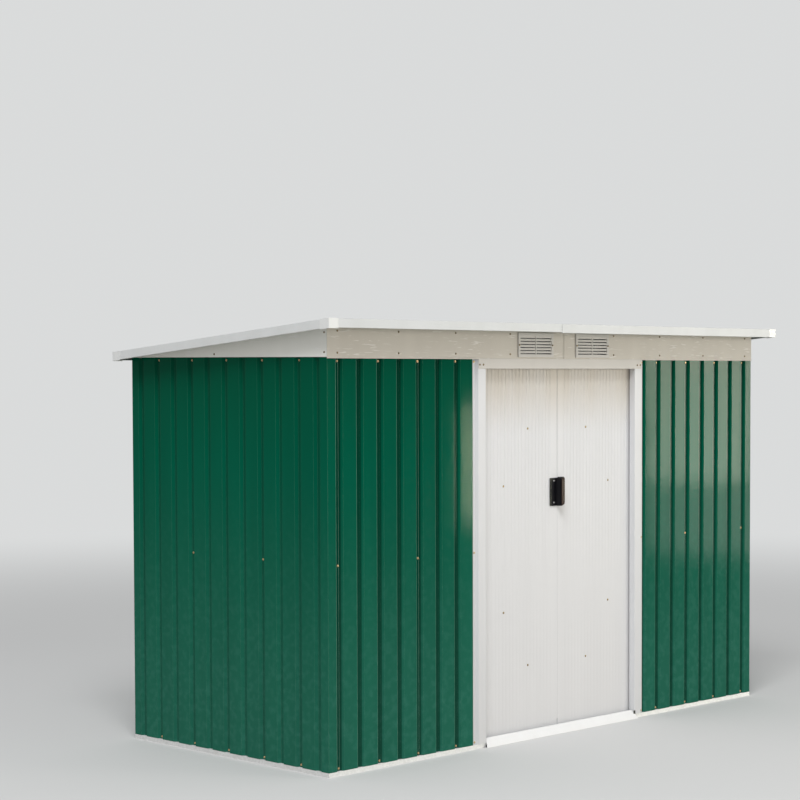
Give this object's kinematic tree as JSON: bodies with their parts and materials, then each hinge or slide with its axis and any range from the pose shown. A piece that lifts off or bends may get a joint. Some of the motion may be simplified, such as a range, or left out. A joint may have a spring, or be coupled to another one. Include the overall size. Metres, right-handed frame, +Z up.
{
  "type": "metal pent shed",
  "caption": "Painted sheet steel garden shed with a single-slope roof, ribbed walls, louvred vents and double sliding doors.",
  "frame": {"origin": "on the ground, under the middle of the roof", "axes": "+X along the front to the right as seen from outside the doors, -Y is the front with the doors, +Z up"},
  "size_m": [2.8404, 1.3144, 1.7212],
  "materials": {
    "green_sheet": "semi-gloss baked enamel on ribbed steel sheet",
    "white_steel": "semi-gloss white enamel",
    "door_steel": "semi-gloss white enamel on finely ribbed sheet",
    "galvanised_rail": "dull galvanised steel",
    "white_moulding": "satin white moulding",
    "black_moulding": "satin black moulding"
  },
  "bodies": {
    "shed": {"back_top_rail": "galvanised_rail", "back_wall_left": "green_sheet", "back_wall_right": "green_sheet", "base_rail_back": "galvanised_rail", "base_rail_front": "galvanised_rail", "base_rail_left": "galvanised_rail", "base_rail_right": "galvanised_rail", "door_header": "white_steel", "fascia_left": "white_steel", "fascia_right": "white_steel", "front_top_rail": "galvanised_rail", "front_wall_left": "green_sheet", "front_wall_right": "green_sheet", "gable_left": "white_steel", "gable_right": "white_steel", "jamb_left": "white_steel", "jamb_right": "white_steel", "left_wall_back": "green_sheet", "left_wall_front": "green_sheet", "lower_track": "galvanised_rail", "right_wall_back": "green_sheet", "right_wall_front": "green_sheet", "roof_beam": "galvanised_rail", "roof_corner_caps": "white_moulding", "roof_sheet_left": "green_sheet", "roof_sheet_right": "green_sheet", "roof_trim_back": "white_steel", "roof_trim_front_left": "white_steel", "roof_trim_front_right": "white_steel", "roof_trim_left": "white_steel", "roof_trim_right": "white_steel", "sill_plate": "galvanised_rail", "threshold_ramp": "white_steel", "upper_track": "galvanised_rail", "vent_left": "white_steel", "vent_right": "white_steel"},
    "left_door": {"left_door_bottom_rail": "door_steel", "left_door_brace": "galvanised_rail", "left_door_handle": "black_moulding", "left_door_panel": "door_steel", "left_door_skids": "black_moulding", "left_door_top_rail": "door_steel"},
    "right_door": {"right_door_bottom_rail": "door_steel", "right_door_brace": "galvanised_rail", "right_door_handle": "black_moulding", "right_door_panel": "door_steel", "right_door_skids": "black_moulding", "right_door_top_rail": "door_steel"}
  },
  "joints": [
    {"name": "left_door_slide", "type": "slide", "parent": "shed", "child": "left_door", "axis": [-1, 0, 0], "range_m": [0, 0.425]},
    {"name": "right_door_slide", "type": "slide", "parent": "shed", "child": "right_door", "axis": [1, 0, 0], "range_m": [0, 0.425]}
  ]
}
